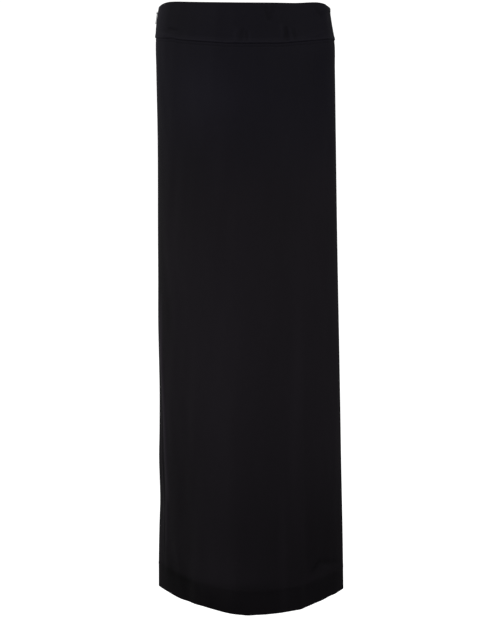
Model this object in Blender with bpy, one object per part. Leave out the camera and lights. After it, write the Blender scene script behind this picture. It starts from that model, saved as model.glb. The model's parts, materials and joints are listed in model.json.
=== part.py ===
"""A long black skirt with a deep waistband, filled out as it is when it is worn.

Metres, +Z up. The origin is the middle of the waist's opening, level with the
highest point of the top edge. The front faces -Y and the concealed zip is in
the side seam at -X.
"""

from collections import namedtuple

import bmesh
import bpy
import numpy as np

# Cloth. The outer face of the two panels is the surface that everything else
# is measured from: "inside" below is the depth behind it.
CLOTH = 0.0012
BAND_CLOTH = 0.0020
BAND_PROUD = BAND_CLOTH - CLOTH
SEAM_GAP = 0.0003
HEM_TURN_UP = 0.047
HEM_SLOT = 0.0004
HEM_FOLD = 0.0016
COLUMNS = 32
BAND_ROWS = 6
PANEL_ROWS = 22
PANEL_ROW_GROWTH = 1.1
HEM_ROWS = 3

# The concealed zip. Its tapes lie on the inside of the seam, from ZIP_TOP under
# the top level down to ZIP_BOTTOM. The pull tab's pivot lies PIVOT_BELOW the top
# level and PIVOT_OUT from the seam, which opens round the slider's neck.
ZIP_TOP = 0.014
ZIP_BOTTOM = 0.215
TAPE_WIDTH = 0.012
TAPE_CLOTH = 0.0010
TAPE_GAP = 0.0004
TAPE_ROWS = 18
TAPE_ROWS_FROM = 0.035
HALF_PANEL = 0.203
PIVOT_BELOW = 0.022
PIVOT_OUT = 0.0017
NECK_SLIT = 0.0009
NECK_REACH = 0.0034
NECK_ROW_INSET = 1e-5

SLIDER_WIDTH = 0.0074
SLIDER_LENGTH = 0.0104
SLIDER_THICK = 0.0018
SLIDER_CORNER = 0.0022
SLIDER_BEVEL = 0.0004
BAIL_THICK = 0.0011
BAIL_REACH = 0.0019
BAIL_RIM = 0.0005
BAIL_CORNER = 0.0006
BAIL_HOLE_DEPTH = 0.0015
BAIL_HOLE_LENGTH = 0.0020
BAIL_HOLE_CORNER = 0.0004

PULL_LENGTH = 0.0200
PULL_THICK = 0.0008
PULL_TOP_WIDTH = 0.0042
PULL_END_WIDTH = 0.0056
PULL_CORNER = 0.0018
PULL_EYE_WIDTH = 0.0021
PULL_EYE_LENGTH = 0.0032
PULL_EYE_CORNER = 0.0003

# A row for each level down the skirt. below: under the top edge. half_width:
# from the middle to a side seam. front and back: how far each panel stands out
# from the side seams. roundness: 2 is an ellipse, and 1 is two shallow arcs
# that meet in a crease at the side seams. middle: how far the level hangs to +X.
Level = namedtuple("Level", "below half_width front back roundness middle")
LEVELS = [
    Level(0.000, 0.1470, 0.1060, 0.1060, 1.88, 0.0006),
    Level(0.012, 0.1492, 0.1066, 0.1068, 1.87, 0.0006),
    Level(0.025, 0.1514, 0.1074, 0.1080, 1.86, 0.0004),
    Level(0.043, 0.1542, 0.1081, 0.1098, 1.84, 0.0006),
    Level(0.070, 0.1576, 0.1089, 0.1122, 1.81, 0.0022),
    Level(0.120, 0.1584, 0.1103, 0.1160, 1.77, 0.0031),
    Level(0.230, 0.1595, 0.1131, 0.1202, 1.69, 0.0049),
    Level(0.430, 0.1632, 0.1185, 0.1214, 1.54, 0.0066),
    Level(0.640, 0.1671, 0.1241, 0.1240, 1.39, 0.0093),
    Level(0.840, 0.1710, 0.1296, 0.1288, 1.24, 0.0117),
    Level(1.000, 0.1747, 0.1338, 0.1332, 1.13, 0.0130),
    Level(1.110, 0.1775, 0.1366, 0.1366, 1.05, 0.0131),
]

# How far under the top level an edge or seam runs, at the middle of the front,
# at the side seams and at the middle of the back. turn: how near to the side
# seams it changes, as a power of the distance across. right_lower: what the +X
# side hangs lower than the middle, and the -X side higher.
Edge = namedtuple("Edge", "front side back turn right_lower")
TOP_EDGE = Edge(0.0000, 0.0122, 0.0122, 16, 0.0005)
BAND_SEAM = Edge(0.0682, 0.0638, 0.0662, 1.4, 0.0012)
HEM_EDGE = Edge(1.1016, 1.1044, 1.1016, 2, 0.0028)

# Soft folds, a row each. place: from -1 at the -X side seam to 1 at the +X one.
# drift: how much the place changes from start to end. spread: half its width on
# the same scale. rise: how far it stands out, or sinks in if negative.
Fold = namedtuple("Fold", "place drift spread rise start end")
FRONT_FOLDS = [
    Fold(-0.94, 0.07, 0.030, 0.0014, 0.50, 1.02),
    Fold(-0.62, 0.02, 0.090, -0.0018, 0.42, 1.10),
    Fold(-0.15, 0.02, 0.080, 0.0024, 0.46, 1.11),
    Fold(0.22, 0.07, 0.095, -0.0026, 0.42, 1.05),
    Fold(0.425, 0.005, 0.042, 0.0021, 0.48, 1.12),
    Fold(0.52, -0.015, 0.045, -0.0018, 0.52, 1.10),
    Fold(0.88, -0.02, 0.050, 0.0012, 0.70, 1.12),
]
BACK_FOLDS = [
    Fold(-0.78, 0.03, 0.060, 0.0018, 0.50, 1.10),
    Fold(-0.47, -0.02, 0.100, -0.0026, 0.36, 1.11),
    Fold(-0.12, -0.02, 0.070, 0.0024, 0.46, 1.12),
    Fold(0.21, 0.03, 0.085, -0.0022, 0.52, 1.10),
    Fold(0.49, 0.02, 0.060, 0.0020, 0.44, 1.11),
    Fold(0.81, -0.01, 0.070, -0.0016, 0.62, 1.12),
]

# The side seams' slow waves, a row for each. end: -1 for the -X seam and 1 for the
# +X one. spread: the half length of the bow. out: how far it stands outwards, or
# inwards if negative. It fades out round the skirt as a power of the place.
Bow = namedtuple("Bow", "end below spread out")
BOWS = [
    Bow(-1, 0.575, 0.058, 0.0008),
    Bow(-1, 0.712, 0.055, -0.0007),
    Bow(-1, 0.838, 0.034, 0.0010),
    Bow(-1, 0.925, 0.034, -0.0011),
    Bow(-1, 1.035, 0.060, 0.0009),
    Bow(1, 0.860, 0.090, -0.0003),
]
BOW_FADE = 4

# A fold fades in over the first part of its length, and out again past its end.
FOLD_FADE_IN = 2.2
FOLD_FADE_OUT = 6.0
FOLD_OVERRUN = 1.1

FRONT, BACK = -1, 1
AT_SEAM = 0.9999
BESIDE_SEAM = 0.992
MITRE_LIMIT = 0.4
SMALL_STEP = 1e-3
SHARP_DEGREES = 40
BLACK_CREPE = ("black_crepe", (0.012, 0.011, 0.014), 0.88, 0.0)
BLACK_TAPE = ("black_tape", (0.016, 0.015, 0.017), 0.75, 0.0)
BLACK_ENAMEL = ("black_enamel", (0.020, 0.020, 0.022), 0.35, 0.6)


def through(rows, column, below):
    """The smooth curve through one column of LEVELS: a cubic between each two rows,
    with the slope at each row that its neighbours give."""
    depths = np.array([row.below for row in rows])
    values = np.array([getattr(row, column) for row in rows])
    slopes = np.gradient(values, depths)
    first = np.clip(np.searchsorted(depths, below) - 1, 0, len(depths) - 2)
    step = depths[first + 1] - depths[first]
    t = np.clip((below - depths[first]) / step, 0, 1)
    start = values[first] * (2 * t**3 - 3 * t**2 + 1)
    start = start + slopes[first] * step * (t**3 - 2 * t**2 + t)
    end = values[first + 1] * (3 * t**2 - 2 * t**3)
    return start + end + slopes[first + 1] * step * (t**3 - t**2)


def even_angles(place, half_width, depth, roundness):
    """Angles round one panel, from -90 degrees at the -X seam to 90 at the +X one, at
    which even steps of place lie even distances apart along the cloth."""
    angle = np.linspace(-np.pi / 2, np.pi / 2, 721)
    x = half_width * np.sin(angle)
    y = depth * np.cos(angle).clip(0) ** (2 / roundness)
    length = np.concatenate([[0], np.cumsum(np.hypot(np.diff(x), np.diff(y)))])
    return np.interp(place, 2 * length / length[-1] - 1, angle)


def across(place, below):
    """How far across the skirt a place lies, -1 to 1. The even spacing at the waist
    turns gradually into the even spacing at the hem."""
    waist, hem = LEVELS[0], LEVELS[-1]
    top = even_angles(place, waist.half_width, waist.front, waist.roundness)
    low = even_angles(place, hem.half_width, hem.front, hem.roundness)
    share = np.clip(below / hem.below, 0, 1)
    return np.sin(top + (low - top) * share)


def edge_below(edge, side, place):
    """How far down an edge or seam runs at each place."""
    x = across(place, edge.side)
    middle = edge.front if side == FRONT else edge.back
    return middle + (edge.side - middle) * np.abs(x) ** edge.turn + edge.right_lower * x


def plain_surface(side, place, below):
    """The outer face without its folds: at each level a ring whose two halves are
    x = half_width * a and y = depth * (1 - a * a) ** (1 / roundness), with what the
    bows of the side seams add to x."""
    a = across(place, below)
    width = through(LEVELS, "half_width", below)
    depth = through(LEVELS, "front" if side == FRONT else "back", below)
    power = 1 / through(LEVELS, "roundness", below)
    x = through(LEVELS, "middle", below) + width * a
    for bow in BOWS:
        bell = np.exp(-(((below - bow.below) / bow.spread) ** 2))
        x = x + bow.end * bow.out * bell * (bow.end * a).clip(0) ** BOW_FADE
    y = side * depth * (1 - a * a).clip(0) ** power
    return np.stack([x, y, -below], axis=-1)


def outward(side, place, below):
    """The direction square to the cloth. At a side seam it is along X, longer by what
    a mitre needs, so that the front and the back meet there."""
    at = np.clip(place, -BESIDE_SEAM, BESIDE_SEAM)
    step = SMALL_STEP
    along = plain_surface(side, at + step, below) - plain_surface(side, at - step, below)
    down = plain_surface(side, at, below + step) - plain_surface(side, at, below - step)
    normal = np.cross(along, down) * side
    normal /= np.linalg.norm(normal, axis=-1, keepdims=True)
    seam = np.sign(place)[..., None] * np.array([1.0, 0.0, 0.0])
    mitre = seam / np.maximum(np.abs(normal[..., :1]), MITRE_LIMIT)
    return np.where(np.abs(place)[..., None] > AT_SEAM, mitre, normal)


def fold_rise(side, place, below):
    """What the soft folds add outwards: a bell across each one, which fades in from
    its start and out round its end, and nothing at the side seams."""
    rise = np.zeros(np.shape(place + below))
    for fold in FRONT_FOLDS if side == FRONT else BACK_FOLDS:
        share = (below - fold.start) / (fold.end - fold.start)
        fade = np.clip(share * FOLD_FADE_IN, 0, 1)
        fade = fade * np.clip((FOLD_OVERRUN - share) * FOLD_FADE_OUT, 0, 1)
        fade = fade * fade * (3 - 2 * fade)
        where = fold.place + fold.drift * share
        rise = rise + fold.rise * fade * np.exp(-(((place - where) / fold.spread) ** 2))
    return rise * (1 - place**8)


def cloth(side, place, below, inside, slit=0.0):
    """A point at a depth inside the outer face. The two edges at the side seams stand
    half a seam gap from the seam's plane, and at -X as much more as slit says."""
    point = plain_surface(side, place, below)
    out = fold_rise(side, place, below) - inside
    point = point + outward(side, place, below) * out[..., None]
    at_seam = np.abs(place) > AT_SEAM
    point[..., 1] += np.where(at_seam, side * (SEAM_GAP / 2 + slit * (place < 0)), 0)
    return point


def neck_slit(below):
    """Half of what the seam opens to let the slider's neck through."""
    return NECK_SLIT * (np.abs(below - PIVOT_BELOW) < NECK_REACH)


def neck_rows():
    """The two levels just inside the ends of that opening."""
    reach = NECK_REACH - NECK_ROW_INSET
    return [PIVOT_BELOW - reach, PIVOT_BELOW + reach]


def material(finish):
    name, colour, roughness, metallic = finish
    made = bpy.data.materials.get(name)
    if made is None:
        made = bpy.data.materials.new(name)
        made.use_nodes = True
        shader = made.node_tree.nodes["Principled BSDF"]
        shader.inputs["Base Color"].default_value = (*colour, 1)
        shader.inputs["Roughness"].default_value = roughness
        shader.inputs["Metallic"].default_value = metallic
    return made


def add_object(name, mesh, finish):
    mesh.materials.append(material(finish))
    made = bpy.data.objects.new(name, mesh)
    bpy.context.scene.collection.objects.link(made)
    return made


def closed_mesh(name, points, faces):
    """A mesh with its faces turned outwards and shaded smooth between sharp edges."""
    mesh = bpy.data.meshes.new(name)
    mesh.from_pydata([tuple(p) for p in points], [], faces)
    work = bmesh.new()
    work.from_mesh(mesh)
    bmesh.ops.recalc_face_normals(work, faces=work.faces)
    if work.calc_volume(signed=True) < 0:
        bmesh.ops.reverse_faces(work, faces=work.faces)
    work.to_mesh(mesh)
    work.free()
    mesh.shade_smooth()
    mesh.set_sharp_from_angle(angle=np.radians(SHARP_DEGREES))
    return mesh


def lofted(name, sections, end_faces):
    """A solid from sections of points, each a closed loop, joined one to the next.
    end_faces lists the faces of one end as positions in the loop."""
    count, around = sections.shape[:2]
    faces = []
    for i in range(count - 1):
        for j in range(around):
            k = (j + 1) % around
            here, there = i * around, (i + 1) * around
            faces.append((here + j, here + k, there + k, there + j))
    last = (count - 1) * around
    for face in end_faces:
        faces.append(tuple(face))
        faces.append(tuple(last + j for j in face))
    return closed_mesh(name, sections.reshape(-1, 3), faces)


def strip_loop(rows):
    """The end faces of a plain wall, whose loop runs down one face and up the other."""
    last = 2 * rows - 1
    return [(j, j + 1, last - j - 1, last - j) for j in range(rows - 1)]


def edge_rows(first, last, side, place, shares):
    """Levels between two edges, a column for each place and a row for each share."""
    top = edge_below(first, side, place)[:, None]
    low = edge_below(last, side, place)[:, None]
    return top + (low - top) * shares[None, :]


def seam_places():
    """Places from the side seam to the inner edge of the zip's tape."""
    return np.array([0, 0.3, 1.0]) * TAPE_WIDTH / HALF_PANEL


def wall_places():
    """The columns of a panel: even ones, and near each side seam those of the tape."""
    near = seam_places()
    inner = 1 - 2 * near[-1]
    middle = np.linspace(-inner, inner, COLUMNS + 1)
    return np.concatenate([near - 1, middle, 1 - near[::-1]])


def make_waistband(name, side):
    """Half of the deep waistband. It stands a little proud of the panel below it."""
    place = wall_places()
    shares = np.linspace(0, 1, BAND_ROWS + 1)
    below = edge_rows(TOP_EDGE, BAND_SEAM, side, place, shares)
    below[:, -1] -= SEAM_GAP / 2
    below[0, 1:3] = neck_rows()
    wide = np.repeat(place[:, None], below.shape[1], axis=1)
    slit = neck_slit(below)
    outer = cloth(side, wide, below, -BAND_PROUD, slit)
    inner = cloth(side, wide, below, CLOTH, slit)
    loops = np.concatenate([outer, inner[:, ::-1]], axis=1)
    mesh = lofted(name, loops, strip_loop(below.shape[1]))
    return add_object(name, mesh, BLACK_CREPE)


def make_panel(name, side):
    """One panel from the waistband's seam to the hem, where the cloth is folded up
    inside itself. Its section is a long wall with a hook at its foot."""
    place = wall_places()
    top = edge_below(BAND_SEAM, side, place)[:, None] + SEAM_GAP / 2
    foot = edge_below(HEM_EDGE, side, place)[:, None]
    shares = np.linspace(0, 1, PANEL_ROWS + 1)[None, :-1] ** PANEL_ROW_GROWTH
    long_rows = top + (foot - HEM_TURN_UP - top) * shares
    hem_shares = np.linspace(0, 1, HEM_ROWS + 1)[None, :]
    hem_rows = foot - HEM_TURN_UP + (HEM_TURN_UP - HEM_FOLD) * hem_shares
    walls = np.concatenate([long_rows, hem_rows], axis=1)
    layers = [
        (np.concatenate([walls, foot - HEM_FOLD / 3], axis=1), 0.0),
        (foot, HEM_SLOT + CLOTH / 3),
        (foot, HEM_SLOT + CLOTH * 5 / 3),
        (np.concatenate([foot - HEM_FOLD / 3, hem_rows[:, ::-1]], axis=1), HEM_SLOT + 2 * CLOTH),
        (hem_rows, HEM_SLOT + CLOTH),
        (walls[:, ::-1], CLOTH),
    ]
    loops = []
    for below, inside in layers:
        wide = np.repeat(place[:, None], below.shape[1], axis=1)
        loops.append(cloth(side, wide, below, np.full(below.shape, inside)))
    rows, hem = walls.shape[1], hem_rows.shape[1]
    around = sum(loop.shape[1] for loop in loops)
    wall_end = [(j, j + 1, around - 2 - j, around - 1 - j) for j in range(rows - 1)]
    turned = rows + 4
    hook_end = []
    for j in range(hem - 1):
        inner, slot = turned + j, turned + 2 * hem - 1 - j
        hook_end.append((inner, inner + 1, slot - 1, slot))
    foot_end = [tuple(range(rows - 1, turned + 1)) + (turned + 2 * hem - 1, around - rows)]
    mesh = lofted(name, np.concatenate(loops, axis=1), wall_end + hook_end + foot_end)
    return add_object(name, mesh, BLACK_CREPE)


def make_zip_tape(name, side):
    """One tape of the zip, flat against the inside of the seam's edge."""
    steps = seam_places() - 1
    even = np.linspace(TAPE_ROWS_FROM, ZIP_BOTTOM, TAPE_ROWS)
    rows = np.concatenate([[ZIP_TOP], neck_rows(), even])
    place = np.repeat(steps[:, None], len(rows), axis=1)
    below = np.repeat(rows[None, :], len(steps), axis=0)
    slit = neck_slit(below)
    near = np.full(below.shape, CLOTH + TAPE_GAP)
    outer = cloth(side, place, below, near, slit)
    inner = cloth(side, place, below, near + TAPE_CLOTH, slit)
    loops = np.concatenate([outer, inner[:, ::-1]], axis=1)
    mesh = lofted(name, loops, strip_loop(below.shape[1]))
    return add_object(name, mesh, BLACK_TAPE)


def seam_slope(above, under):
    """A point of the -X side seam at the pivot's level, and the directions out of the
    seam, along Y and up it, from so far above that level to so far under it."""
    below = PIVOT_BELOW + np.array([-above, 0, under])
    high, here, low = plain_surface(FRONT, np.full(3, -1.0), below)
    along = np.array([0.0, 1.0, 0.0])
    up = (high - low) / np.linalg.norm(high - low)
    return here, np.cross(up, along), along, up


def pull_pivot():
    """The pivot of the pull tab, outside the seam."""
    here, out, _, _ = seam_slope(SLIDER_LENGTH / 2, SLIDER_LENGTH / 2)
    return here + out * PIVOT_OUT


def rounded_rectangle(low, high, radius, steps=4):
    """Points round a rectangle with round corners, counter-clockwise from the right."""
    left, bottom = low[0] + radius, low[1] + radius
    right, top = high[0] - radius, high[1] - radius
    corners = []
    for k, centre in enumerate([(right, top), (left, top), (left, bottom), (right, bottom)]):
        angle = np.linspace(0, np.pi / 2, steps + 1) + k * np.pi / 2
        corners.append(np.array(centre) + radius * np.stack([np.cos(angle), np.sin(angle)], axis=1))
    return np.concatenate(corners)


def pierced_plate(name, outline, hole, thick, to_world):
    """A flat plate with one hole. Both loops have the same number of points."""
    count = len(outline)
    flat = np.concatenate([outline, hole])
    low = np.column_stack([flat, np.full(2 * count, -thick / 2)])
    high = np.column_stack([flat, np.full(2 * count, thick / 2)])
    points = to_world(np.concatenate([low, high]))
    faces = []
    for j in range(count):
        k = (j + 1) % count
        ring = [(j, k, count + k, count + j)]
        faces += ring
        faces += [tuple(i + 2 * count for i in face) for face in ring]
        faces.append((j, k, 2 * count + k, 2 * count + j))
        faces.append((count + j, count + k, 3 * count + k, 3 * count + j))
    return closed_mesh(name, points, faces)


def make_slider():
    """The slider: a block behind the tapes, and a bail that reaches out through the
    seam and carries the pull tab."""
    _, out, along, up = seam_slope(SLIDER_LENGTH / 2, SLIDER_LENGTH / 2)
    pivot = pull_pivot()

    def bail_frame(flat):
        return pivot + flat[:, :1] * out + flat[:, 1:2] * up + flat[:, 2:] * along

    behind = -(PIVOT_OUT + CLOTH + TAPE_GAP + TAPE_CLOTH + SEAM_GAP)
    root = behind - SLIDER_THICK / 2
    eye = (BAIL_HOLE_DEPTH / 2, BAIL_HOLE_LENGTH / 2)
    rim = eye[0] + BAIL_RIM
    outline = rounded_rectangle((root, -BAIL_REACH), (rim, BAIL_REACH), BAIL_CORNER)
    hole = rounded_rectangle((-eye[0], -eye[1]), eye, BAIL_HOLE_CORNER)
    bail_mesh = pierced_plate("bail", outline, hole, BAIL_THICK, bail_frame)
    bail = add_object("bail", bail_mesh, BLACK_ENAMEL)

    sections = []
    for depth, inset in [(0, SLIDER_BEVEL), (SLIDER_BEVEL, 0), (SLIDER_THICK, 0)]:
        corner = (SLIDER_WIDTH / 2 - inset, SLIDER_LENGTH / 2 - inset)
        block = rounded_rectangle((-corner[0], -corner[1]), corner, SLIDER_CORNER - inset)
        flat = block[:, :1] * along + block[:, 1:] * up
        sections.append(pivot + (behind - depth) * out + flat)
    mesh = lofted("zip_slider", np.array(sections), [range(len(block))])
    slider = add_object("zip_slider", mesh, BLACK_ENAMEL)
    join = slider.modifiers.new("bail", "BOOLEAN")
    join.operation = "UNION"
    join.object = bail
    bail.hide_render = True
    bail.display_type = "WIRE"
    return slider


def make_pull():
    """The pull tab: a flat drop with an eye, whose top bar lies in the bail. Its
    origin is on that bar, which it swings about."""
    _, out, along, up = seam_slope(0, PULL_LENGTH)

    def pull_frame(flat):
        return flat[:, :1] * along + flat[:, 1:2] * up + flat[:, 2:] * out

    bar, eye, end = PULL_THICK / 2, PULL_EYE_WIDTH / 2, PULL_END_WIDTH / 2
    hole = rounded_rectangle((-eye, -bar - PULL_EYE_LENGTH), (eye, -bar), PULL_EYE_CORNER)
    outline = rounded_rectangle((-end, -PULL_LENGTH), (end, bar), PULL_CORNER)
    rise = (outline[:, 1] + PULL_LENGTH) / (bar + PULL_LENGTH)
    outline[:, 0] *= 1 + (PULL_TOP_WIDTH / PULL_END_WIDTH - 1) * rise
    mesh = pierced_plate("zip_pull", outline, hole, PULL_THICK, pull_frame)
    pull = add_object("zip_pull", mesh, BLACK_ENAMEL)
    pull.location = pull_pivot()
    return pull


def main():
    for old in list(bpy.data.objects):
        bpy.data.objects.remove(old)
    make_waistband("waistband_front", FRONT)
    make_waistband("waistband_back", BACK)
    make_panel("front_panel", FRONT)
    make_panel("back_panel", BACK)
    make_zip_tape("zip_tape_front", FRONT)
    make_zip_tape("zip_tape_back", BACK)
    make_slider()
    make_pull()


main()
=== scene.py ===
"""A long black crepe skirt, filled out as it is when it is worn, in a plain studio.

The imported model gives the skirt's size and its zip. The cloth is made here, as
thin shells on the same form, with its folds, seams, stitches and grain. Metres,
+Z up, with the front to -Y and the zip in the side seam at -X.
"""

import json
from collections import namedtuple

import bpy
import numpy as np
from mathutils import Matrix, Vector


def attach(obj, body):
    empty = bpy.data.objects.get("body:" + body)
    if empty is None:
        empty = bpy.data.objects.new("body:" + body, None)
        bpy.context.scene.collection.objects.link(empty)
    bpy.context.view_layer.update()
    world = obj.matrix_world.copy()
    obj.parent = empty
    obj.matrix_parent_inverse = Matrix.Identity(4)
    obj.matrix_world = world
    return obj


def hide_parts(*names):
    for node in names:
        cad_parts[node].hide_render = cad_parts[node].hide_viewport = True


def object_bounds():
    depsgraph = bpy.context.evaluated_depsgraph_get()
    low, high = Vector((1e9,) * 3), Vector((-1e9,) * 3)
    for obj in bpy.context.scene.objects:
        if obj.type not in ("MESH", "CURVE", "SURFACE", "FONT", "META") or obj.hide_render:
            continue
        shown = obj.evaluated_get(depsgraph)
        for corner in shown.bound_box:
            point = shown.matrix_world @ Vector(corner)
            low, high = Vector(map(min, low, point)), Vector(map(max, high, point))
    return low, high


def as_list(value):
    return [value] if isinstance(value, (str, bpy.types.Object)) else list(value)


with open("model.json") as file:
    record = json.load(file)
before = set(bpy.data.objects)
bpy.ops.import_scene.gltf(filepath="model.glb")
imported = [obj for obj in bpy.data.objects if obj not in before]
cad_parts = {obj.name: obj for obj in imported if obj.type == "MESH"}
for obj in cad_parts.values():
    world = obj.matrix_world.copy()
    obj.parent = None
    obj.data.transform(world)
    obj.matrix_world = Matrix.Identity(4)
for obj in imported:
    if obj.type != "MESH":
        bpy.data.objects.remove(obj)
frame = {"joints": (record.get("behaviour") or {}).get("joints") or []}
cad_low, cad_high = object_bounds()
scene = bpy.context.scene


# ---- The viewer
# The viewer's eye is a hand's breadth above the waist, a few steps in front of the
# skirt, and looks a little down. So the top edge is seen nearly edge on and the hem
# from above, which gives it its deep curve.

EYE = (0.0109, -2.8222, 0.1057)
LOOKING_DOWN = 0.2364
SENSOR = 36.0
PICTURE_HEIGHT = 637
DISTANCE_IN_PIXELS = 1578.4

camera_data = bpy.data.cameras.new("viewer")
camera_data.sensor_width = SENSOR
camera_data.lens = SENSOR * DISTANCE_IN_PIXELS / PICTURE_HEIGHT
camera = bpy.data.objects.new("viewer", camera_data)
camera.location = EYE
camera.rotation_euler = (np.pi / 2 - LOOKING_DOWN, 0, 0)
scene.collection.objects.link(camera)
scene.camera = camera


# ---- The studio
# White paper lies on the floor all round, well under the hem. One large soft lamp
# stands far to the left, another to the right in front, and the room gives some
# light from all sides: most from the ceiling, and more from the left and behind.

FLOOR_UNDER_HEM = 0.30
FLOOR_RADIUS = 60.0
FLOOR_RINGS, FLOOR_SIDES, FLOOR_GROWTH = 12, 48, 1.6
PAPER_WHITE = (0.90, 0.90, 0.90, 1)
PAPER_ROUGHNESS = 0.9
PAPER_GLOW = 0.80
AIR = 0.07
AIR_ABOVE = 0.50
AIR_LEFT = 0.12
AIR_BEHIND = 0.16
BEHIND_TO_LEFT = 0.6
AIR_SEEN = 1.0
AIR_COLOUR = (1, 1, 1, 1)
LAMPS_AIM = np.array([0.0, 0.0, -0.35])
Lamp = namedtuple("Lamp", "name place size watts")
LAMPS = [
    Lamp("left_softbox", (-2.80, -1.50, 0.80), 1.2, 26.0),
    Lamp("right_softbox", (2.40, -2.20, 0.60), 1.5, 28.0),
]


def numbered(points):
    """The number of each point of a grid, as a grid of the same form."""
    return np.arange(points[..., 0].size).reshape(points.shape[:-1])


def grid_faces(index, closed=False):
    """The quads of a grid of point numbers. A closed one joins its last column to its
    first."""
    if closed:
        index = np.concatenate([index, index[:, :1]], axis=1)
    quads = np.stack([index[:-1, :-1], index[1:, :-1], index[1:, 1:], index[:-1, 1:]], axis=-1)
    return quads.reshape(-1, 4)


def new_piece(name, points, quads, material):
    """An object at the origin from points and four-cornered faces, shaded smooth."""
    mesh = bpy.data.meshes.new(name)
    used, quads = np.unique(quads, return_inverse=True)
    points = points.reshape(-1, 3)[used]
    quads = quads.reshape(-1, 4)
    mesh.vertices.add(len(points))
    mesh.vertices.foreach_set("co", points.ravel())
    mesh.loops.add(quads.size)
    mesh.loops.foreach_set("vertex_index", quads.ravel())
    mesh.polygons.add(len(quads))
    mesh.polygons.foreach_set("loop_start", np.arange(0, quads.size, 4))
    mesh.update(calc_edges=True)
    mesh.validate()
    mesh.shade_smooth()
    mesh.materials.append(material)
    piece = bpy.data.objects.new(name, mesh)
    scene.collection.objects.link(piece)
    return piece


class Value:
    """A shader's socket. Arithmetic on it adds Math nodes to its tree."""

    def __init__(self, shading, socket):
        self.shading, self.socket = shading, socket

    def math(self, operation, first, second):
        inputs = {0: first, 1: second}
        return self.shading.node("Math", inputs, operation=operation)["Value"]

    def __add__(self, other):
        return self.math("ADD", self, other)

    def __sub__(self, other):
        return self.math("SUBTRACT", self, other)

    def __mul__(self, other):
        return self.math("MULTIPLY", self, other)

    def __rsub__(self, other):
        return self.math("SUBTRACT", other, self)

    def at_least(self, other):
        return self.math("MAXIMUM", self, other)

    __radd__ = __add__
    __rmul__ = __mul__


class Shading:
    """The nodes of a world or a material, which are added one by one."""

    def __init__(self, owner):
        owner.use_nodes = True
        self.tree = owner.node_tree

    def join(self, socket, value):
        if isinstance(value, Value):
            self.tree.links.new(value.socket, socket)
        else:
            socket.default_value = value

    def node(self, kind, inputs=None, **settings):
        """Adds one node, sets it, then joins its inputs. It gives the outputs by name."""
        node = self.tree.nodes.new("ShaderNode" + kind)
        for name, value in settings.items():
            setattr(node, name, value)
        live = {socket.name: socket for socket in node.inputs if socket.enabled}
        for name, value in (inputs or {}).items():
            self.join(node.inputs[name] if isinstance(name, int) else live[name], value)
        return {socket.name: Value(self, socket) for socket in node.outputs if socket.enabled}


class Finish(Shading):
    """A material that is built up node by node round its Principled shader."""

    def __init__(self, name, **plain):
        self.material = bpy.data.materials.new(name)
        super().__init__(self.material)
        self.shader = self.tree.nodes["Principled BSDF"]
        for socket, value in plain.items():
            self.feed(socket.replace("_", " "), value)

    def feed(self, socket, value):
        self.join(self.shader.inputs[socket], value)

    def where(self):
        """Where a point of the piece is, in metres."""
        return self.node("TexCoord")["Object"]

    def stretched(self, vector, *scale):
        return self.node("Mapping", {"Vector": vector, "Scale": scale})["Vector"]

    def noise(self, vector, scale, detail=2.0, roughness=0.5):
        inputs = {"Vector": vector, "Scale": scale, "Detail": detail, "Roughness": roughness}
        return self.node("TexNoise", inputs)["Fac"]

    def ribs(self, vector, axis, per_metre, distortion=0.0):
        """Even ridges square to an axis. A Wave node has 20 / 2 pi of them to a unit."""
        inputs = {"Vector": vector, "Scale": per_metre * 2 * np.pi / 20, "Distortion": distortion}
        return self.node("TexWave", inputs, wave_type="BANDS", bands_direction=axis)["Fac"]

    def ramp(self, value, low, high):
        inputs = {"Value": value, "From Min": low, "From Max": high}
        return self.node("MapRange", inputs, interpolation_type="SMOOTHSTEP", clamp=True)["Result"]

    def mix(self, share, first, second):
        inputs = {"Factor": share, "A": first, "B": second}
        return self.node("Mix", inputs, data_type="RGBA", clamp_factor=False)["Result"]

    def bump(self, height, strength, distance):
        inputs = {"Height": height, "Strength": strength, "Distance": distance}
        self.feed("Normal", self.node("Bump", inputs)["Normal"])


paper = Finish(
    "white_paper",
    Base_Color=PAPER_WHITE,
    Roughness=PAPER_ROUGHNESS,
    Emission_Color=PAPER_WHITE,
    Emission_Strength=PAPER_GLOW,
)
# The floor's rings, each FLOOR_GROWTH times as wide as the one inside it.
radii = FLOOR_RADIUS * FLOOR_GROWTH ** np.arange(1 - FLOOR_RINGS, 1)
radii[0] = 0
turn = np.linspace(0, 2 * np.pi, FLOOR_SIDES, endpoint=False)
rings = np.full((FLOOR_RINGS, FLOOR_SIDES, 3), cad_low[2] - FLOOR_UNDER_HEM)
rings[..., 0], rings[..., 1] = np.outer(radii, np.cos(turn)), np.outer(radii, np.sin(turn))
floor = new_piece("floor", rings, grid_faces(numbered(rings), closed=True), paper.material)
# The paper throws no light up at the skirt, which the lamps and the room light alone.
floor.visible_diffuse = False
floor.visible_glossy = False

for lamp in LAMPS:
    data = bpy.data.lights.new(lamp.name, "AREA")
    data.shape, data.size, data.energy = "DISK", lamp.size, lamp.watts
    light = bpy.data.objects.new(lamp.name, data)
    light.location = lamp.place
    x, y, z = LAMPS_AIM - lamp.place
    light.rotation_euler = (np.arctan2(np.hypot(x, y), -z), 0, np.arctan2(y, x) - np.pi / 2)
    scene.collection.objects.link(light)

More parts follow.
